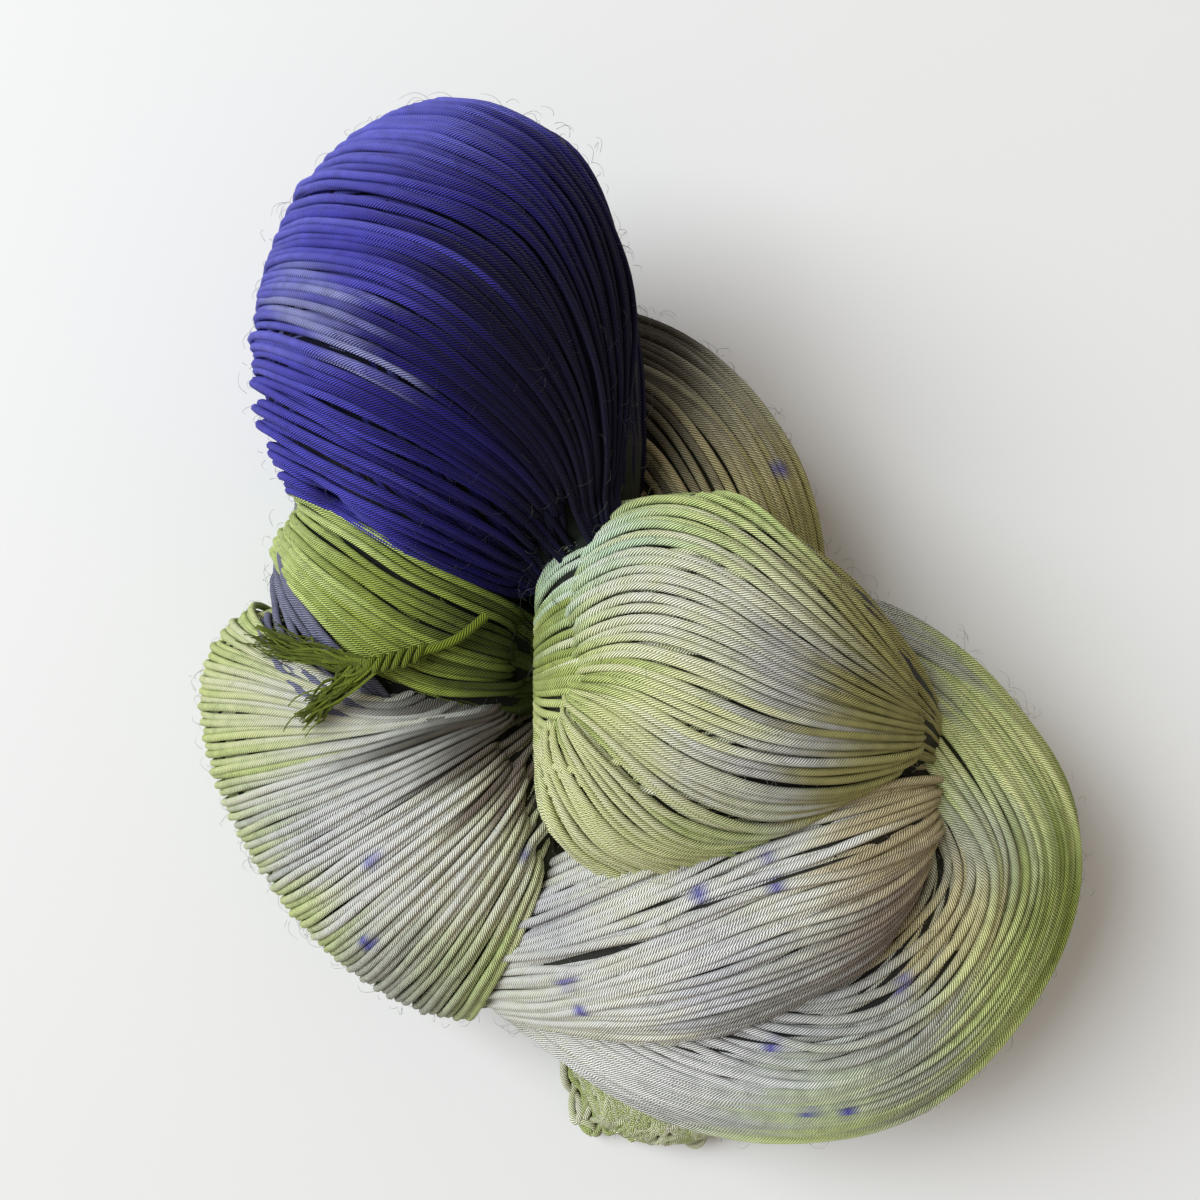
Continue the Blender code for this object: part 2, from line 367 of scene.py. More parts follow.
brushes = []
for spread in range(BRUSH_FIBRES):
    root_mark = KNOT_END + tie_draw.uniform(-2.0, 4.0)
    start = resampled(tie_route, route_marks, np.array([root_mark]))[0]
    start = start + tie_draw.normal(0.0, 0.5, 3)
    tip, scatter = BRUSH_TIPS[spread % 2]
    end = np.array(tip) + tie_draw.normal(0.0, 1.3, 3) * scatter
    swing = tie_draw.uniform(0.3, 1.0)
    line = wavy(start, end, FIBRE_POINTS, swing, tie_draw.uniform(0.8, 2.6), tie_draw)
    line[:, 2] += FIBRE_ARCH * np.sin(np.linspace(0.0, math.pi, FIBRE_POINTS))
    shade = tie_moss * tie_draw.uniform(0.8, 1.7)
    brushes.append((line, np.linspace(0.3, 0.1, FIBRE_POINTS), shade, 0.0))
tie_brushes = yarn_piece("tie_brushes", brushes, PLIED, 5)

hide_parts("tie")


# ---------------------------------------------------------------- centre bundle
# The plump turn in the middle of the bun, plied wool dyed cream, lime and lilac.
# Like every bundle it is a turn of one hank of about 400 m, twisted and coiled on itself, and
# it fans out of the dimple and is held in place by the twist.

# The rows and the solid differ by this step, which puts the box of the solid on the origin.
SETTLE = np.array((0.08, -0.64, -0.6))
STRAND_PITCH = 1.5
STRAND_STEP = 2.3

# Strands deeper in the skein than this are left out.
HIDDEN_DEPTH = 4.5

skein_shape = BVHTree.FromObject(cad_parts["skein"], bpy.context.evaluated_depsgraph_get())


# Least half width of a bundle, at its pinched ends.
LEAST_HALF = 0.3


def on_bundle(rows, at, angle, depth):
    """Points at an angle round the bundle, sunk by a depth below its skin."""
    row = blended_rows(rows, at)
    turn = np.radians(row[:, 5])
    tip = np.radians(row[:, 6])
    along = np.stack((np.cos(turn) * np.cos(tip), np.sin(turn) * np.cos(tip), -np.sin(tip)), axis=1)
    across = np.stack((-np.sin(turn), np.cos(turn), np.zeros_like(turn)), axis=1)
    upward = np.cross(along, across)
    width = np.maximum(row[:, 3] - depth, LEAST_HALF) * np.cos(angle)
    height = np.maximum(row[:, 4] - depth, LEAST_HALF) * np.sin(angle)
    return row[:, :3] + SETTLE + across * width[:, None] + upward * height[:, None]


def oval_girth(half_width, half_height):
    """Length round an oval."""
    total = half_width + half_height
    mean = np.sqrt((3.0 * half_width + half_height) * (half_width + 3.0 * half_height))
    return math.pi * (3.0 * total - mean)


RIM_STEPS = 720


def even_angles(half_width, half_height, count):
    """Angles that step evenly along the rim of an oval."""
    fine = np.linspace(0.0, 2.0 * math.pi, RIM_STEPS + 1)
    rim = np.stack((half_width * np.cos(fine), half_height * np.sin(fine)), axis=1)
    marks = along_line(rim)
    return np.interp(np.arange(count) * marks[-1] / count, marks, fine)


def waves(draw, at, lengths, size):
    """A smooth random wander along the strand, made of a few long waves."""
    total = np.zeros_like(at)
    for length in lengths:
        total += np.sin(2.0 * math.pi * (at / length + draw.random())) * draw.uniform(0.5, 1.0)
    return size * total / len(lengths)


# Spots smaller than this are flecks of stray dye, which sit on one place and don't smear.
FLECK_REACH = 3.0

# How much of the lavender dye a strand takes up: none, a little or plenty.
LAVENDER_UPTAKE = (0.0, 0.3, 2.0)


def dyed(points, spots, draw):
    """Colour of a strand's points from the dye spots near them, smeared along the strand."""
    heading = np.gradient(points, axis=0)[:, :2]
    heading /= np.linalg.norm(heading, axis=1, keepdims=True) + 1e-6
    smear = heading * draw.normal(0.0, 4.0) + draw.normal(0.0, 1.2, 2)
    seen = points[:, :2] + smear
    total = np.full((len(points), 1), 1e-4)
    colour = np.array(linear(DYES[spots[0][3]])) * total
    for x, y, reach, dye in spots:
        if reach < FLECK_REACH:
            distance = np.linalg.norm(points[:, :2] - (x, y), axis=1)
            weight = 12.0 * np.exp(-((distance / reach) ** 2))
        else:
            distance = np.linalg.norm(seen - (x, y), axis=1)
            weight = 10.0 / reach * np.exp(-((distance / reach) ** 2))
            if dye == "lavender":
                weight = weight * draw.choice(LAVENDER_UPTAKE)
        colour = colour + weight[:, None] * np.array(linear(DYES[dye]))
        total = total + weight[:, None]
    return colour / total * draw.uniform(1.1, 1.3)


def depth_in_skein(points):
    """How far each point lies below the skin of the whole skein, in mm."""
    depths = []
    for point in points:
        place = Vector(point * MM)
        near, normal, _, distance = skein_shape.find_nearest(place)
        depths.append(-(place - near).dot(normal) / MM)
    return np.array(depths)


def shown_runs(hidden):
    """Start and end of every stretch that isn't hidden inside another bundle."""
    runs = []
    start = None
    for index, covered in enumerate(hidden):
        if not covered and start is None:
            start = index
        if covered and start is not None:
            runs.append((start, index))
            start = None
    if start is not None:
        runs.append((start, len(hidden)))
    return [(max(first - 1, 0), min(last + 1, len(hidden))) for first, last in runs if last - first > 2]


ROW_STEPS = 26

# How far strands wander sideways, alone and with their neighbours, in spacings of strands.
WANDER = 0.55
SHARED_SWAY = 0.5

# How far strands rise and sink, and how deep two in three are squeezed where a bundle narrows.
BOB = 0.28
SQUEEZE = 2.2
LAYERS = (0.0, 1.0, 0.5)

# Share of strands that stray across their neighbours, and how far those ride above them.
STRAY_SHARE = 0.07
STRAY_LIFT = 0.85


def bundle_strands(rows, spots, seed, twist=0.0, below=0.0):
    """Every strand of one bundle that shows, laid side by side along the rows."""
    draw = np.random.default_rng(seed)
    table = np.array(rows, dtype=float)
    widest = table[np.argmax(table[:, 3] + table[:, 4])]
    girth = oval_girth(widest[3], widest[4])
    count = int(girth / STRAND_PITCH)
    angles = even_angles(widest[3], widest[4], count)
    step_angle = 2.0 * math.pi / count
    last = len(rows) - 1.0
    at = np.linspace(0.0, last, int(last) * ROW_STEPS + 1)
    local = blended_rows(rows, at)
    crowd = np.clip(oval_girth(np.abs(local[:, 3]), np.abs(local[:, 4])) / girth, 0.0, 1.0)
    middle_marks = along_line(local[:, :3])
    shared = [(draw.integers(1, 5), draw.uniform(60.0, 130.0), draw.random()) for _ in range(5)]
    strands = []
    for index, base in enumerate(angles):
        wander = waves(draw, middle_marks, (24.0, 41.0, 67.0), WANDER)
        for turns, length, start in shared:
            around = turns * base / (2.0 * math.pi) * 3.0
            wander += SHARED_SWAY * np.sin(2.0 * math.pi * (around + middle_marks / length + start))
        sink = LAYERS[index % 3] * np.clip(1.05 - crowd, 0.0, 1.0) * SQUEEZE
        bob = waves(draw, middle_marks, (19.0, 33.0), BOB)
        depth = below + 0.55 * YARN_WIDTH + sink + bob + 0.25
        thickness = 0.5 * YARN_WIDTH * np.clip(crowd, 0.35, 1.0) ** 0.22 * draw.uniform(0.93, 1.05)
        drift = 0.0
        if draw.random() < STRAY_SHARE:
            drift = draw.choice((-1.0, 1.0)) * draw.uniform(3.0, 9.0) * (at / last - draw.uniform(0.3, 0.7))
            depth = depth - STRAY_LIFT
        angle = base + twist * (at / last - 0.5) + step_angle * (wander + drift)
        path = on_bundle(rows, at, angle, depth)
        marks = along_line(path)
        wanted = np.linspace(0.0, marks[-1], max(int(marks[-1] / STRAND_STEP), 4))
        points = resampled(path, marks, wanted)
        width = np.interp(wanted, marks, thickness)
        points[:, 2] = np.maximum(points[:, 2], width)
        colour = dyed(points, spots, draw)
        start_mark = draw.uniform(0.0, PLY_LAY)
        for first, stop in shown_runs(depth_in_skein(points) > HIDDEN_DEPTH):
            run = slice(first, stop)
            strands.append((points[run], width[run], colour[run], start_mark + wanted[first]))
    return strands


def skin_height(x, y):
    """Height of the skein's top at a place, or None beside it."""
    place = skein_shape.ray_cast(Vector((x, y, 200.0)) * MM, Vector((0.0, 0.0, -1.0)))[0]
    return None if place is None else place.z / MM


# Step down the side, and the farthest that the side may lie from the rim above it.
SIDE_STEP = 2.0
SIDE_REACH = 14.0


def side_places(last, outward, height):
    """Places down the outside of the skein, below the end of a strand that runs over its rim."""
    places = []
    for level in np.arange(height - 1.5, 1.5, -SIDE_STEP):
        start = Vector((last[0] + 40.0 * outward[0], last[1] + 40.0 * outward[1], level)) * MM
        hit = skein_shape.ray_cast(start, Vector((-outward[0], -outward[1], 0.0)))[0]
        if hit is None or np.hypot(hit.x / MM - last[0], hit.y / MM - last[1]) > SIDE_REACH:
            break
        places.append((hit.x / MM, hit.y / MM, hit.z / MM))
    return places


def eased(points, rounds):
    """The line with its small kinks taken out."""
    for _ in range(rounds):
        points = points.copy()
        points[1:-1] = 0.25 * points[:-2] + 0.5 * points[1:-1] + 0.25 * points[2:]
    return points


GUIDE_POINTS = 41


def plan_lines(guides):
    """The guides as smooth lines seen from above, all with the same number of points."""
    lines = []
    for guide in guides:
        line = rounded([(x, y, 0.0) for x, y in guide], 1.0)
        marks = along_line(line)
        lines.append(resampled(line, marks, np.linspace(0.0, marks[-1], GUIDE_POINTS))[:, :2])
    return np.array(lines)


def top_places(flat):
    """Places on top of the skein along a line seen from above, as far as it stays on top."""
    places = []
    for x, y in flat:
        height = skin_height(x, y)
        if height is None:
            break
        places.append((x, y, height))
    return places


# A strand starts past the last step steeper than this among its first places.
STEEP_STEP = 2.2
STEEP_SEARCH = 10


def past_steep_start(places):
    """Number of the first place beyond a steep fold at the start of a strand."""
    for step in range(STEEP_SEARCH - 1, -1, -1):
        if len(places) > step + 1 and abs(places[step][2] - places[step + 1][2]) > STEEP_STEP:
            return step + 1
    return 0


# Strands take these depths in turn, more where the guides crowd them and a little everywhere.
CROWDED_LAYERS = (0.0, 1.0, 0.35, 1.4)
OPEN_LAYERS = (0.0, 0.34, 0.08, 0.42)

# How deep the ends of a strand dive under its neighbours, and over what length.
START_DIVE = 4.5
END_DIVE = 3.2
DIVE_LENGTH = 4.0


def laid_strands(guides, spots, seed, over_rim, pitch=STRAND_PITCH, strays=0.05):
    """Strands laid over the skein between neighbouring guide lines, fanned as the guides fan."""
    draw = np.random.default_rng(seed)
    lines = plan_lines(guides)
    gaps = np.linalg.norm(np.diff(lines, axis=0), axis=2)
    widest = gaps.max(axis=1)
    spread = np.concatenate(([0.0], np.cumsum(widest)))
    count = int(spread[-1] / pitch)
    strands = []
    for index in range(count):
        share = (index + draw.uniform(0.4, 0.6)) * spread[-1] / count
        across = np.interp(share, spread, np.arange(len(lines)))
        between = np.clip(across - 0.5, 0.0, len(gaps) - 1.0)
        band = int(between)
        other = min(band + 1, len(gaps) - 1)
        mix = between - band
        crowd = (1.0 - mix) * gaps[band] / widest[band] + mix * gaps[other] / widest[other]
        crowd = np.clip(crowd, 0.05, 1.0)
        drift = np.zeros(GUIDE_POINTS)
        if draw.random() < strays:
            drift = draw.uniform(-0.3, 0.3) * np.linspace(-0.5, 0.5, GUIDE_POINTS)
        at = np.clip(across + drift, 0.0, len(lines) - 1.0)
        if drift.any():
            flat = np.array([blended_rows(lines[:, k], at[k : k + 1])[0] for k in range(GUIDE_POINTS)])
        else:
            flat = blended_rows(lines.reshape(len(lines), -1), at[:1]).reshape(GUIDE_POINTS, 2)
        marks = along_line(flat)
        heading = np.gradient(flat, axis=0)
        heading /= np.linalg.norm(heading, axis=1, keepdims=True) + 1e-6
        sway = waves(draw, marks, (17.0, 31.0, 53.0), 0.34 * pitch)[:, None] * crowd[:, None]
        flat = flat + sway * np.stack((-heading[:, 1], heading[:, 0]), axis=1)
        places = top_places(flat)
        first = past_steep_start(places)
        places = places[first:]
        if len(places) < 6:
            continue
        shown = len(places)
        if over_rim:
            outward = np.array(places[-1][:2]) - np.array(places[-5][:2])
            places.extend(side_places(places[-1], outward / np.linalg.norm(outward), places[-1][2]))
        line = eased(np.array(places), 2)
        marks = along_line(line)
        wanted = np.linspace(0.0, marks[-1], max(int(marks[-1] / STRAND_STEP), 4))
        tight = np.interp(wanted, marks[:shown], crowd[first : first + shown])
        sink = CROWDED_LAYERS[index % 4] * (1.0 - tight) ** 1.5 * 1.5
        sink += waves(draw, wanted, (15.0, 29.0), 0.22)
        sink += OPEN_LAYERS[index % 4]
        sink += START_DIVE * np.clip(1.0 - wanted / DIVE_LENGTH, 0.0, 1.0) ** 2
        if not over_rim:
            sink += END_DIVE * np.clip(1.0 - (marks[-1] - wanted) / DIVE_LENGTH, 0.0, 1.0) ** 2
        if drift.any():
            sink -= 0.6
        points = resampled(line, marks, wanted)
        for step, point in enumerate(points):
            near, normal = skein_shape.find_nearest(Vector(point * MM))[:2]
            points[step] = np.array(near + normal * (0.05 - sink[step]) * MM) / MM
        points = eased(points, 2)
        width = 0.48 * YARN_WIDTH * tight**0.3 * draw.uniform(0.93, 1.05)
        points[:, 2] = np.maximum(points[:, 2], width)
        strands.append((points, width, dyed(points, spots, draw), draw.uniform(0.0, PLY_LAY)))
    return strands


# Rows: middle of the oval, half width, half height, heading and dip in degrees.
# Spots: place, reach and dye. Guides: lines on the skin seen from above.
centre_rows = (
    (-10.1, 1.0, 44.0, 2.0, 2.0, 0, 0),
    (-15.6, 0.0, 47.0, 12.0, 10.0, 0, 0),
    (-16.6, -2.0, 49.0, 21.0, 17.0, 0, 0),
    (-10.1, -1.0, 51.0, 28.0, 24.0, -2, 0),
    (4.9, 0.5, 53.0, 31.5, 27.0, -6, 0),
    (21.9, -2.0, 51.0, 26.0, 25.0, -12, 5),
    (35.9, -6.5, 47.0, 17.0, 18.0, -20, 15),
    (43.9, -10.0, 41.0, 9.0, 11.0, -25, 35),
    (46.9, -12.0, 35.0, 3.0, 4.0, -25, 60),
)
centre_spots = (
    (-8.0, 20.0, 9.0, "mint"),
    (0.0, 28.0, 8.0, "leaf"),
    (12.0, 27.0, 10.0, "leaf"),
    (2.0, 12.0, 9.0, "cream"),
    (14.0, 12.0, 9.0, "cream"),
    (26.0, 14.0, 9.0, "olive"),
    (34.0, 4.0, 9.0, "olive"),
    (-12.0, 4.0, 7.0, "moss"),
    (-2.0, 1.0, 9.0, "lime"),
    (8.0, -1.0, 8.0, "lime"),
    (20.0, 3.0, 7.0, "lilac"),
    (22.0, -4.0, 6.0, "stone"),
    (-8.0, -12.0, 10.0, "lime"),
    (-4.0, -24.0, 9.0, "lime"),
    (8.0, -14.0, 7.0, "cream"),
    (14.0, -12.0, 7.0, "lilac"),
    (10.0, -21.0, 6.0, "leaf"),
    (30.0, -8.0, 8.0, "olive"),
    (42.0, -8.0, 8.0, "olive"),
)
centre_guides = (
    ((-5.5, 28.3), (2.0, 31.3), (12.9, 30.0), (23.8, 21.0), (33.8, 10.4), (44.2, -3.0)),
    ((-12.0, 19.2), (-1.0, 25.2), (10.8, 22.8), (21.5, 15.4), (31.8, 6.2), (45.0, -4.9)),
    ((-14.6, 9.8), (-4.0, 16.8), (7.6, 15.3), (19.5, 8.0), (31.0, 1.0), (45.8, -6.6)),
    ((-15.4, 2.8), (-4.1, 8.0), (7.5, 6.3), (19.5, 0.3), (31.3, -4.0), (46.6, -8.1)),
    ((-14.8, 0.3), (-4.1, 0.7), (6.1, -4.0), (16.8, -8.2), (30.4, -10.0), (46.5, -10.5)),
    ((-14.8, -0.9), (-7.0, -3.0), (1.0, -8.5), (10.0, -13.5), (22.0, -16.5), (34.0, -16.0), (44.0, -13.0)),
    ((-15.1, -1.9), (-10.8, -7.1), (-4.5, -14.5), (3.0, -21.5), (12.0, -25.0), (22.0, -23.0)),
    ((-15.4, -2.3), (-15.6, -9.6), (-12.5, -17.4), (-6.0, -25.5), (3.0, -30.0)),
    ((-15.7, -2.6), (-17.3, -10.4), (-16.6, -18.6), (-13.3, -26.0), (-6.0, -32.0)),
)
centre_strands = laid_strands(centre_guides, centre_spots, 21, False, strays=0.1)
centre = yarn_piece("centre_bundle", centre_strands, PLIED, 8)

# The strands just below the outermost ones show in the gaps between those.
centre_under = yarn_piece("centre_under", bundle_strands(centre_rows, centre_spots, 11, below=1.2), PLIED, 6)


# ---------------------------------------------------------------- violet bundle
# The tallest turn at the back, plied wool dyed violet and indigo, with the indigo darkened to near black on
# its right flank as painted shade.
# Its strands come out of the dimple, fan over the top and run down the outside, and a few take
# lavender dye. The twist of the hank draws it tight at both ends.

violet_rows = (
    (-12.1, 11.0, 42.0, 3.0, 3.0, 95, 0),
    (-14.1, 18.0, 46.0, 12.0, 10.0, 100, 0),
    (-19.1, 30.0, 52.0, 22.0, 20.0, 112, 0),
    (-25.1, 46.5, 57.0, 29.0, 27.5, 126, 0),
    (-31.1, 59.0, 57.0, 33.5, 29.0, 143, 5),
    (-39.6, 60.5, 51.0, 33.5, 26.5, 160, 30),
    (-45.1, 55.5, 40.0, 32.0, 21.0, 174, 60),
    (-47.1, 49.0, 28.0, 29.0, 16.0, 182, 85),
    (-45.1, 45.0, 16.0, 22.0, 11.0, 184, 100),
)
violet_spots = (
    (-52.0, 78.0, 14.0, "bright violet"),
    (-34.0, 88.0, 10.0, "bright violet"),
    (-60.0, 60.0, 10.0, "bright violet"),
    (-56.0, 40.0, 10.0, "violet"),
    (-42.0, 62.0, 10.0, "violet"),
    (-26.0, 74.0, 12.0, "indigo"),
    # The near-black spots on the right flank are indigo dye darkened as painted shade.
    (-8.0, 66.0, 14.0, "shaded indigo"),
    (-18.0, 50.0, 12.0, "shaded indigo"),
    (-34.0, 44.0, 8.0, "indigo"),
    (-48.0, 30.0, 9.0, "violet"),
    (-32.0, 26.0, 10.0, "indigo"),
    (-14.0, 24.0, 12.0, "shaded indigo"),
    (-52.0, 57.0, 3.6, "lavender"),
    (-46.0, 53.0, 3.4, "lavender"),
    (-39.0, 49.0, 3.2, "lavender"),
)
violet_guides = (
    ((-13.4, 10.5), (-24.8, 13.9), (-36.7, 19.1), (-48.3, 25.4), (-61.8, 32.3)),
    ((-10.9, 12.4), (-20.2, 23.4), (-32.9, 30.4), (-45.2, 35.9), (-63.0, 45.0)),
    ((-9.3, 14.7), (-15.6, 29.6), (-28.3, 40.8), (-41.3, 48.2), (-65.0, 58.0)),
    ((-8.2, 17.1), (-11.3, 36.8), (-24.0, 52.0), (-38.5, 60.4), (-64.0, 67.0)),
    ((-7.0, 19.3), (-7.7, 42.9), (-16.9, 62.1), (-34.2, 71.2), (-57.0, 78.0)),
    ((-6.1, 21.6), (-4.3, 46.4), (-9.9, 69.0), (-25.0, 82.2), (-45.0, 87.5)),
    ((-5.1, 24.0), (-2.0, 46.5), (-2.5, 63.6), (-14.3, 82.6), (-32.0, 91.0)),
)
violet_strands = laid_strands(violet_guides, violet_spots, 22, True, pitch=1.3, strays=0.08)
violet = yarn_piece("violet_bundle", violet_strands, PLIED, 7)
violet_under = yarn_piece("violet_under", bundle_strands(violet_rows, violet_spots, 12, below=1.3), PLIED, 6)


# ---------------------------------------------------------------- green band
# A narrow turn between the violet and the left bundle, plied wool dyed moss green.
# It is the band that the tie goes round, and its strands are drawn together there.

green_rows = (
    (-13.1, 1.0, 40.0, 3.0, 3.0, 170, 0),
    (-19.1, 1.0, 44.0, 10.0, 9.0, 165, 0),
    (-29.1, 5.5, 46.0, 13.0, 13.0, 160, 0),
    (-40.1, 12.0, 44.0, 16.0, 16.0, 155, 5),
    (-48.1, 18.0, 37.0, 17.0, 15.0, 155, 35),
    (-51.1, 22.0, 26.0, 17.0, 12.0, 160, 75),
    (-50.1, 22.0, 14.0, 15.0, 9.0, 165, 95),
)
green_spots = (
    (-56.0, 20.0, 9.0, "leaf"),
    (-48.0, 14.0, 10.0, "moss"),
    (-36.0, 8.0, 10.0, "moss"),
    # These three darkest spots by the dimple are moss dye darkened as painted shade, where the band lies in
    # shade.
    (-26.0, 8.0, 8.0, "shaded moss"),
    (-18.0, 2.0, 9.0, "shaded moss"),
    (-24.0, -3.0, 8.0, "shaded moss"),
)
green_guides = (
    ((-15.8, 8.8), (-27.8, 15.0), (-39.0, 20.8), (-51.0, 27.6), (-61.8, 32.6)),
    ((-15.3, 2.8), (-26.2, 6.0), (-37.4, 10.8), (-49.1, 18.1), (-62.3, 26.9)),
    ((-15.3, 0.4), (-24.6, 1.2), (-35.8, 4.4), (-47.8, 11.6), (-61.5, 21.8)),
    ((-15.8, -2.0), (-24.8, -3.0), (-34.7, -2.3), (-44.7, 3.4), (-57.2, 14.1)),
)
green = yarn_piece("green_band", laid_strands(green_guides, green_spots, 23, True), PLIED, 8)
green_under = yarn_piece("green_under", bundle_strands(green_rows, green_spots, 13, below=1.2), PLIED, 6)


# ---------------------------------------------------------------- grey strands
# A thin turn of slate grey plied wool that shows below the green band.
# It is pressed between the green band and the left bundle, which hold it in place.

grey_rows = (
    (-17.1, -2.0, 37.0, 5.0, 5.0, 170, 0),
    (-29.1, -3.0, 39.0, 9.0, 8.0, 165, 0),
    (-42.1, 3.0, 39.0, 10.0, 9.0, 145, 0),
    (-51.6, 13.0, 35.0, 11.0, 9.0, 130, 20),
    (-55.6, 21.0, 27.0, 11.0, 9.0, 120, 60),
    (-55.6, 24.0, 16.0, 10.0, 8.0, 120, 85),
)
grey_spots = ((-50.0, 10.0, 20.0, "slate"), (-35.0, -5.0, 12.0, "slate"))
grey_guides = (
    ((-39.0, -4.0), (-46.6, 2.5), (-53.8, 9.9), (-60.6, 19.2), (-63.2, 24.5)),
    ((-41.0, -8.5), (-51.0, -5.6), (-59.6, 0.4), (-65.0, 8.6), (-66.6, 17.5)),
)
grey = yarn_piece("grey_strands", laid_strands(grey_guides, grey_spots, 24, False), PLIED, 8)
grey_under = yarn_piece("grey_under", bundle_strands(grey_rows, grey_spots, 14, below=1.0), PLIED, 6)


# ---------------------------------------------------------------- left bundle
# The broad turn at the front left, plied wool dyed white and leaf green with a few violet flecks.
# Its strands fan out of the dimple and run over the rim, down to the table.

left_rows = (
    (-15.1, -5.0, 34.0, 4.0, 4.0, 225, 0),
    (-21.1, -10.0, 37.0, 18.0, 14.0, 222, 0),
    (-31.1, -15.0, 36.0, 33.0, 22.0, 218, 5),
    (-41.1, -20.5, 32.0, 41.0, 25.0, 216, 15),
    (-48.6, -25.5, 26.0, 42.0, 23.0, 216, 40),
    (-51.1, -28.0, 18.0, 38.0, 18.0, 216, 70),
    (-49.1, -26.0, 9.0, 30.0, 11.0, 216, 100),
    (-42.1, -21.0, 5.0, 18.0, 7.0, 216, 130),
)
left_spots = (
    (-70.0, 0.0, 12.0, "leaf"),
    (-62.0, -6.0, 10.0, "cream"),
    (-66.0, -16.0, 10.0, "leaf"),
    (-50.0, -10.0, 8.0, "cream"),
    (-44.0, -12.0, 7.0, "lilac"),
    (-57.0, -24.0, 8.0, "lilac"),
    (-38.0, -8.0, 7.0, "stone"),
    # This broad white spot is partly white dye and partly painted light on the lit top of the turn.
    (-47.0, -28.0, 13.0, "white"),
    (-34.0, -30.0, 9.0, "cream"),
    # The next two spots are taupe darkened as painted shade, where the turn lies in shade under the green
    # band.
    (-33.0, -7.0, 6.0, "shaded taupe"),
    (-24.0, -8.0, 7.0, "shaded taupe"),
    (-20.0, -14.0, 7.0, "taupe"),
    (-22.0, -32.0, 7.0, "cream"),
    (-16.0, -34.0, 7.0, "leaf"),
    (-60.0, -42.0, 10.0, "leaf"),
    (-38.0, -50.0, 10.0, "stone"),
    (-26.0, -52.0, 10.0, "leaf"),
    (-43.0, -29.0, 0.8, "violet"),
    (-19.0, -28.0, 0.8, "violet"),
    (-45.0, -44.0, 0.8, "violet"),
)
left_guides = (
    ((-50.0, -1.0), (-57.0, 2.6), (-64.0, 7.4), (-69.5, 12.4)),
    ((-28.0, -5.6), (-41.0, -6.6), (-53.0, -5.2), (-64.5, -3.8), (-77.0, -3.8)),
    ((-20.3, -5.0), (-32.9, -7.0), (-47.0, -10.0), (-61.1, -13.0), (-78.0, -17.0)),
    ((-17.8, -5.9), (-30.2, -13.2), (-43.6, -21.0), (-56.2, -28.6), (-72.0, -38.5)),
    ((-16.1, -8.4), (-26.2, -19.6), (-37.4, -29.2), (-48.3, -38.8), (-62.0, -49.5)),
    ((-15.3, -12.5), (-21.6, -24.9), (-29.8, -36.5), (-39.3, -48.8), (-48.5, -59.0)),
    ((-13.0, -21.2), (-16.2, -33.0), (-20.8, -44.4), (-26.5, -55.4), (-30.7, -63.0)),
)
left = yarn_piece("left_bundle", laid_strands(left_guides, left_spots, 25, True), PLIED, 8)
left_under = yarn_piece("left_under", bundle_strands(left_rows, left_spots, 15, below=1.2), PLIED, 6)


# ---------------------------------------------------------------- inner turn
# The upper of the two turns in front, plied wool dyed cream, lilac and tan.
# It is wound round the centre bundle and tucked under it at its right end.

inner_rows = (
    (45.9, -17.0, 36.0, 5.0, 4.0, 160, -60),
    (42.4, -21.0, 44.0, 14.0, 11.0, 175, -35),
    (34.9, -26.0, 47.0, 20.0, 17.0, 188, -10),
    (20.9, -32.0, 47.0, 22.0, 20.0, 195, 0),
    (3.9, -40.0, 42.0, 22.0, 21.0, 200, 8),
    (-12.1, -46.0, 35.0, 18.0, 18.0, 205, 15),
    (-24.1, -50.0, 28.0, 13.0, 13.0, 210, 25),
)
inner_spots = (
    (0.0, -36.0, 10.0, "cream"),
    (-10.0, -42.0, 8.0, "lilac"),
    (12.0, -32.0, 8.0, "lilac"),
    (20.0, -30.0, 9.0, "cream"),
    (10.0, -42.0, 8.0, "lilac"),
    (24.0, -26.0, 7.0, "white"),
    (32.0, -26.0, 6.0, "tan"),
    (38.0, -22.0, 8.0, "tan"),
    (36.0, -34.0, 9.0, "taupe"),
    (24.0, -44.0, 9.0, "stone"),
    (-10.0, -56.0, 10.0, "cream"),
    (18.0, -27.0, 0.8, "violet"),
    (20.0, -31.0, 0.8, "violet"),
    (8.0, -33.0, 0.8, "violet"),
    (-12.0, -49.0, 0.8, "violet"),
    (-10.0, -54.0, 0.8, "violet"),
)
inner = yarn_piece("inner_turn", bundle_strands(inner_rows, inner_spots, 16), PLIED, 8)
inner_under = yarn_piece("inner_under", bundle_strands(inner_rows, inner_spots, 36, below=0.8), PLIED, 6)


# ---------------------------------------------------------------- outer turn
# The thick lower turn round the front and the right, plied wool dyed leaf green and stone.
# It lies on the table, and its strands run with a slight twist round the turn.

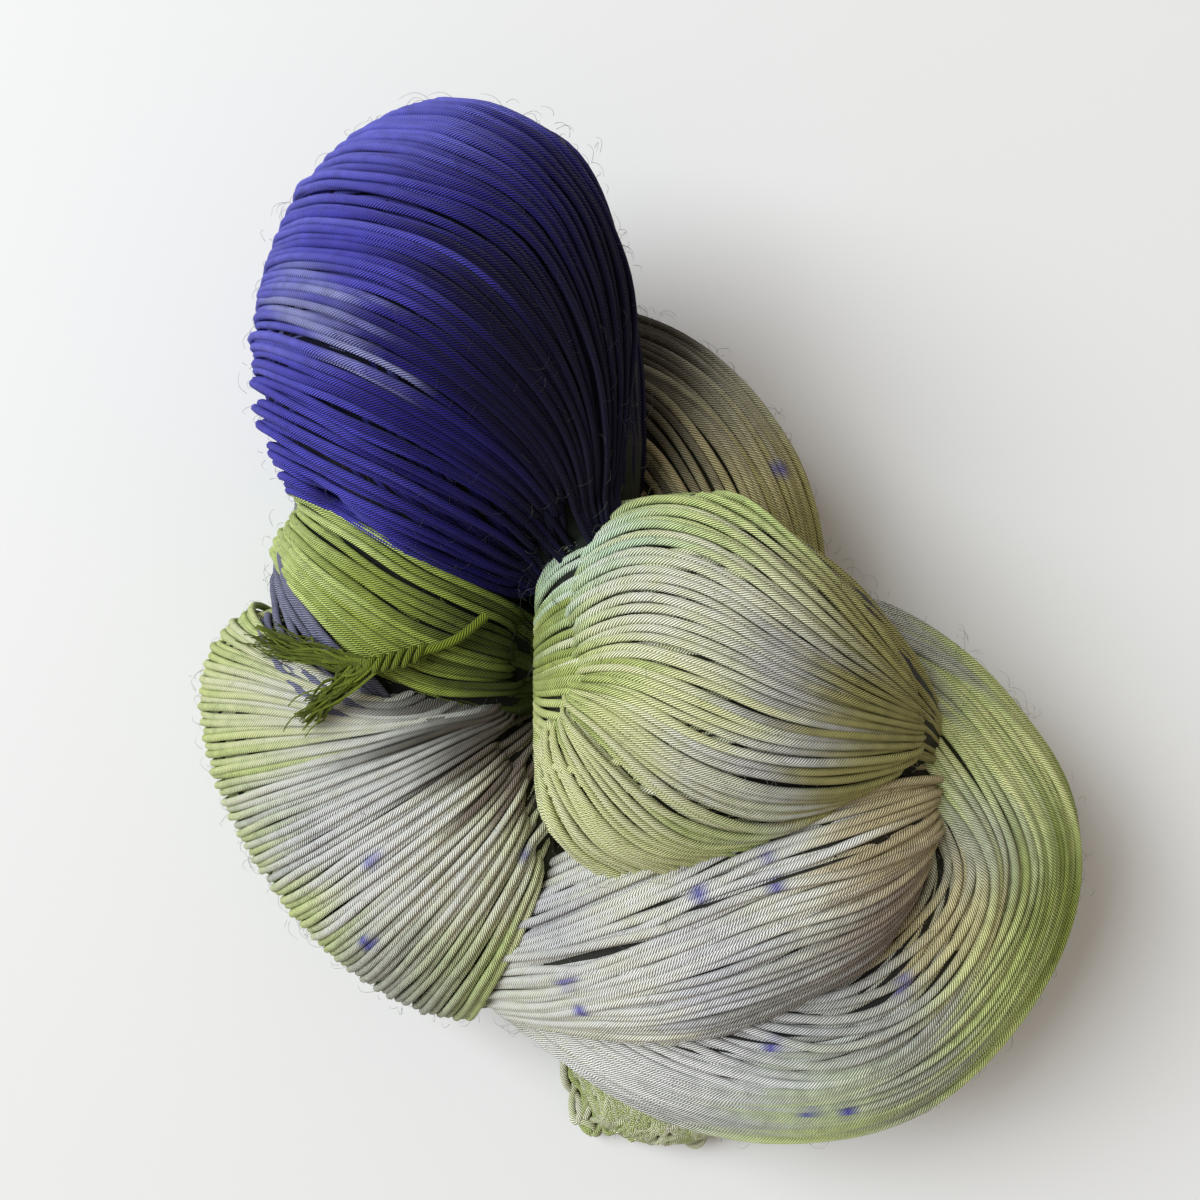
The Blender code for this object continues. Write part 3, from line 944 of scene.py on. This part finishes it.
outer_rows = (
    (20.9, 3.0, 32.0, 12.0, 12.0, -20, 0),
    (32.9, -2.0, 32.0, 18.0, 20.0, -35, 0),
    (44.9, -13.0, 29.0, 21.5, 24.0, -50, 0),
    (53.4, -30.0, 27.0, 24.5, 27.0, -82, 0),
    (45.9, -46.0, 26.5, 25.5, 27.5, -125, 0),
    (30.9, -55.0, 26.5, 27.0, 27.5, -160, 0),
    (9.9, -53.0, 25.0, 27.5, 26.0, -182, 0),
    (-10.1, -46.0, 23.0, 22.0, 23.0, -202, 0),
    (-25.1, -39.0, 20.0, 17.0, 17.0, -210, 0),
    (-34.1, -32.0, 19.0, 10.0, 12.0, -216, 0),
)
outer_spots = (
    (44.0, 6.0, 10.0, "stone"),
    (56.0, -6.0, 12.0, "leaf"),
    (66.0, -20.0, 12.0, "leaf"),
    (70.0, -34.0, 10.0, "moss"),
    (56.0, -26.0, 8.0, "stone"),
    (50.0, -40.0, 9.0, "tan"),
    (60.0, -12.0, 9.0, "lime"),
    (62.0, -50.0, 12.0, "leaf"),
    (40.0, -58.0, 12.0, "stone"),
    (20.0, -66.0, 14.0, "lilac"),
    (4.0, -62.0, 14.0, "white"),
    (-14.0, -56.0, 12.0, "cream"),
    (30.0, -76.0, 12.0, "leaf"),
    (10.0, -80.0, 12.0, "stone"),
    (42.0, -50.0, 0.8, "violet"),
    (21.0, -60.0, 0.8, "violet"),
    (28.0, -73.0, 0.8, "violet"),
    (34.0, -72.0, 0.8, "violet"),
)
outer = yarn_piece("outer_turn", bundle_strands(outer_rows, outer_spots, 17, twist=-0.5), PLIED, 8)
outer_hidden = bundle_strands(outer_rows, outer_spots, 37, twist=-0.5, below=0.8)
outer_under = yarn_piece("outer_under", outer_hidden, PLIED, 5)


# ---------------------------------------------------------------- back turn
# The turn behind the centre bundle, plied wool dyed olive and tan, mostly in shade.
# It lies on the table, held between the violet bundle and the centre.

back_rows = (
    (-31.1, 47.0, 22.0, 16.0, 16.0, 10, 0),
    (-15.1, 47.0, 24.0, 19.0, 22.0, -8, 0),
    (-1.1, 41.5, 25.0, 21.0, 25.5, -32, 0),
    (9.9, 26.5, 25.0, 22.0, 26.0, -58, 0),
    (14.9, 8.0, 25.0, 19.5, 25.0, -75, 0),
    (16.9, -7.0, 23.0, 16.0, 20.0, -85, 0),
)
back_spots = (
    # The first two spots are taupe darkened as painted shade on the shaded side of the turn.
    (0.0, 50.0, 9.0, "shaded taupe"),
    (6.0, 40.0, 8.0, "shaded taupe"),
    (16.0, 44.0, 8.0, "stone"),
    (18.0, 42.0, 8.0, "olive"),
    (26.0, 30.0, 10.0, "olive"),
    (14.0, 34.0, 10.0, "tan"),
    (23.0, 35.0, 0.8, "violet"),
)
back = yarn_piece("back_turn", bundle_strands(back_rows, back_spots, 18), PLIED, 8)


# ---------------------------------------------------------------- base turn
# The lowest turn, plied wool dyed slate and pale green, which carries the others.
# It lies flat on the table under them and shows only low on the sides.

base_rows = (
    (0.9, 43.0, 12.0, 8.0, 10.0, 90, 0),
    (-8.1, 55.0, 14.0, 14.0, 15.0, 135, 0),
    (-21.1, 58.0, 16.0, 17.0, 17.5, 178, 0),
    (-40.1, 45.0, 17.0, 19.0, 18.5, 225, 0),
    (-46.1, 21.0, 17.0, 18.0, 18.5, 265, 0),
    (-43.1, -1.0, 17.0, 18.0, 18.5, 285, 0),
    (-35.1, -17.0, 17.0, 16.0, 18.0, 302, 0),
    (-22.1, -28.0, 17.0, 15.0, 17.5, 340, 0),
    (-6.1, -27.0, 17.0, 15.0, 17.5, 372, 0),
    (6.9, -17.0, 17.0, 13.0, 16.0, 405, 0),
)
base_spots = ((-30.0, 50.0, 30.0, "slate"), (-50.0, 10.0, 16.0, "leaf"), (-10.0, -20.0, 30.0, "cream"))
base = yarn_piece("base_turn", bundle_strands(base_rows, base_spots, 19), PLIED, 8)


# ---------------------------------------------------------------- skein middle
# The wool in the depth of the bun, the same strands out of the light, held in by those around it. It is one
# closed shape a strand's width below the skin, coloured with the dyes above it cut to a tenth as painted
# shade, and shows as dark wool in the gaps.

UNDER_SKIN = 1.5

# Share of the dye's colour kept in the middle's painted shade, down in the gaps.
GAP_SHADE = 0.1

inside = bmesh.new()
inside.from_mesh(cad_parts["skein"].data)
bmesh.ops.remove_doubles(inside, verts=inside.verts, dist=0.00001)
inside.normal_update()
sunk = [vert.co - vert.normal * UNDER_SKIN * MM for vert in inside.verts]
for vert, place in zip(inside.verts, sunk):
    vert.co = place
for face in inside.faces:
    face.smooth = True
middle_mesh = bpy.data.meshes.new("skein_middle")
inside.to_mesh(middle_mesh)
inside.free()
spots_everywhere = violet_spots + green_spots + grey_spots + left_spots
spots_everywhere += centre_spots + inner_spots + outer_spots + back_spots
broad = [spot for spot in spots_everywhere if spot[2] > FLECK_REACH]
broad_spots = np.array([spot[:3] for spot in broad])
broad_dyes = np.array([linear(DYES[spot[3]]) for spot in broad])
shaded_inside_tint = np.ones((len(middle_mesh.vertices), 4))
for index, vert in enumerate(middle_mesh.vertices):
    flat = np.array(vert.co[:2]) / MM
    weight = np.exp(-(np.linalg.norm(broad_spots[:, :2] - flat, axis=1) / broad_spots[:, 2]) ** 2) + 1e-6
    shaded_inside_tint[index, :3] = GAP_SHADE * (weight[:, None] * broad_dyes).sum(axis=0) / weight.sum()
middle_mesh.attributes.new("dye", "FLOAT_COLOR", "POINT").data.foreach_set("color", shaded_inside_tint.ravel())
middle_mesh.materials.append(PLIED)
skein_middle = bpy.data.objects.new("skein_middle", middle_mesh)
bpy.context.collection.objects.link(skein_middle)
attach(skein_middle, "root")
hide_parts("skein")


# ---------------------------------------------------------------- slack loops
# A few strands of the hank that slip out on the table in front, too long to lie flat.
# They keep the kinks of their twist, so they wriggle and bend back under the bun.

SLACK_LOOPS = 56
LOOP_POINTS = 60
LOOP_FOOT = -74.0
LOOP_HALF = 0.7

# Where the bun is higher than the first, a loop runs into it at the second.
LOOP_CEILING = 13.5
LOOP_ENTRY = 9.0

slack_draw = np.random.default_rng(31)
slack_strands = []
for index in range(SLACK_LOOPS):
    left_end = slack_draw.uniform(-14.0, 17.0)
    right_end = left_end + slack_draw.uniform(4.0, 11.0)
    front = slack_draw.uniform(-93.0, -87.0) + 0.14 * abs(left_end - 4.0)
    part = np.linspace(0.0, 1.0, LOOP_POINTS)
    sideways = left_end + (right_end - left_end) * part
    forward = front + (LOOP_FOOT - front) * (2.0 * part - 1.0) ** 2
    sideways += 1.2 * np.sin(2.0 * math.pi * (slack_draw.uniform(2.0, 4.0) * part + slack_draw.random()))
    forward += 0.8 * np.sin(2.0 * math.pi * (slack_draw.uniform(3.0, 5.0) * part + slack_draw.random()))
    pile = slack_draw.uniform(0.8, 5.0)
    height = pile + 0.7 * np.sin(2.0 * math.pi * (3.0 * part + slack_draw.random()))
    below = np.array([skin_height(x, y) or 0.0 for x, y in zip(sideways, forward)])
    height = np.where(below > LOOP_CEILING, LOOP_ENTRY, np.maximum(height, below + 0.4))
    loop = eased(np.stack((sideways, forward, np.maximum(height, 0.72)), axis=1), 3)
    mix = slack_draw.random()
    tone = np.array(linear(DYES["leaf"])) * mix + np.array(linear(DYES["cream"])) * (1.0 - mix)
    slack_strands.append((loop, LOOP_HALF, tone * 0.9, 0.0))
slack = yarn_piece("slack_loops", slack_strands, PLIED, 8)


# ---------------------------------------------------------------- wool fuzz
# Loose fibres that stand off the strands all over the skein, as on any spun wool.
# Each is one curled hair, rooted in a strand and dyed like the wool around it.

HAIR_DRAWS = 3400
HAIR_POINTS = 6
HAIR_LIFT = 0.42

fuzz_draw = np.random.default_rng(41)
skin_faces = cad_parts["skein"].data
face_areas = np.array([face.area for face in skin_faces.polygons])
fuzz_faces = fuzz_draw.choice(len(face_areas), HAIR_DRAWS, p=face_areas / face_areas.sum())
hairs = []
for number in fuzz_faces:
    face = skin_faces.polygons[int(number)]
    normal = np.array(face.normal)
    root = np.array(face.center) / MM + fuzz_draw.normal(0.0, 0.9, 3)
    if normal[2] < -0.3 or root[2] < 4.0:
        continue
    lean = fuzz_draw.normal(0.0, 1.0, 3)
    lean -= lean.dot(normal) * normal
    lean /= np.linalg.norm(lean)
    turn = np.cross(normal, lean)
    reach = fuzz_draw.uniform(1.2, 3.4)
    part = np.linspace(0.0, 1.0, HAIR_POINTS)[:, None]
    curl = fuzz_draw.uniform(-1.0, 1.0)
    arch = HAIR_LIFT * np.sin(math.pi * 0.8 * part) * normal
    hair = root + reach * (part * lean + curl * part**2 * turn + arch)
    hair_dye = dyed(hair, spots_everywhere, fuzz_draw)
    hairs.append((hair, np.linspace(0.036, 0.016, HAIR_POINTS), 0.5 * hair_dye + 0.12, 0.0))
fuzz = yarn_piece("wool_fuzz", hairs, PLIED, 3)


# ---------------------------------------------------------------- floor and light
# The bun lies on a smooth white table top by a window on its left.
# The window is broad and cool, and the room gives back a dimmer, warmer light.

top = bmesh.new()
bmesh.ops.create_grid(top, x_segments=1, y_segments=1, size=1.6)
table_mesh = bpy.data.meshes.new("table")
top.to_mesh(table_mesh)
top.free()
table = bpy.data.objects.new("table", table_mesh)
bpy.context.collection.objects.link(table)
paint = bpy.data.materials.new("white table")
paint.use_nodes = True
table_top = paint.node_tree.nodes["Principled BSDF"]
table_top.inputs["Base Color"].default_value = (0.67, 0.67, 0.67, 1.0)
table_top.inputs["Roughness"].default_value = 0.6
table_mesh.materials.append(paint)


def soft_light(name, place, aim, size, power, colour):
    """A square lamp with soft edges, turned towards its aim."""
    lamp = bpy.data.lights.new(name, "AREA")
    lamp.size = size
    lamp.energy = power
    lamp.color = colour
    light = bpy.data.objects.new(name, lamp)
    light.location = place
    light.rotation_euler = (Vector(aim) - Vector(place)).to_track_quat("-Z", "Y").to_euler()
    bpy.context.collection.objects.link(light)


soft_light("window", (-1.9, 0.84, 2.4), (0.0, 0.0, 0.04), 2.0, 130.0, (0.9, 0.96, 1.0))

world = bpy.data.worlds.new("room")
world.use_nodes = True
world.node_tree.nodes["Background"].inputs["Color"].default_value = (1.0, 0.88, 0.77, 1.0)
world.node_tree.nodes["Background"].inputs["Strength"].default_value = 0.45
bpy.context.scene.world = world
bpy.context.scene.view_settings.view_transform = "Standard"
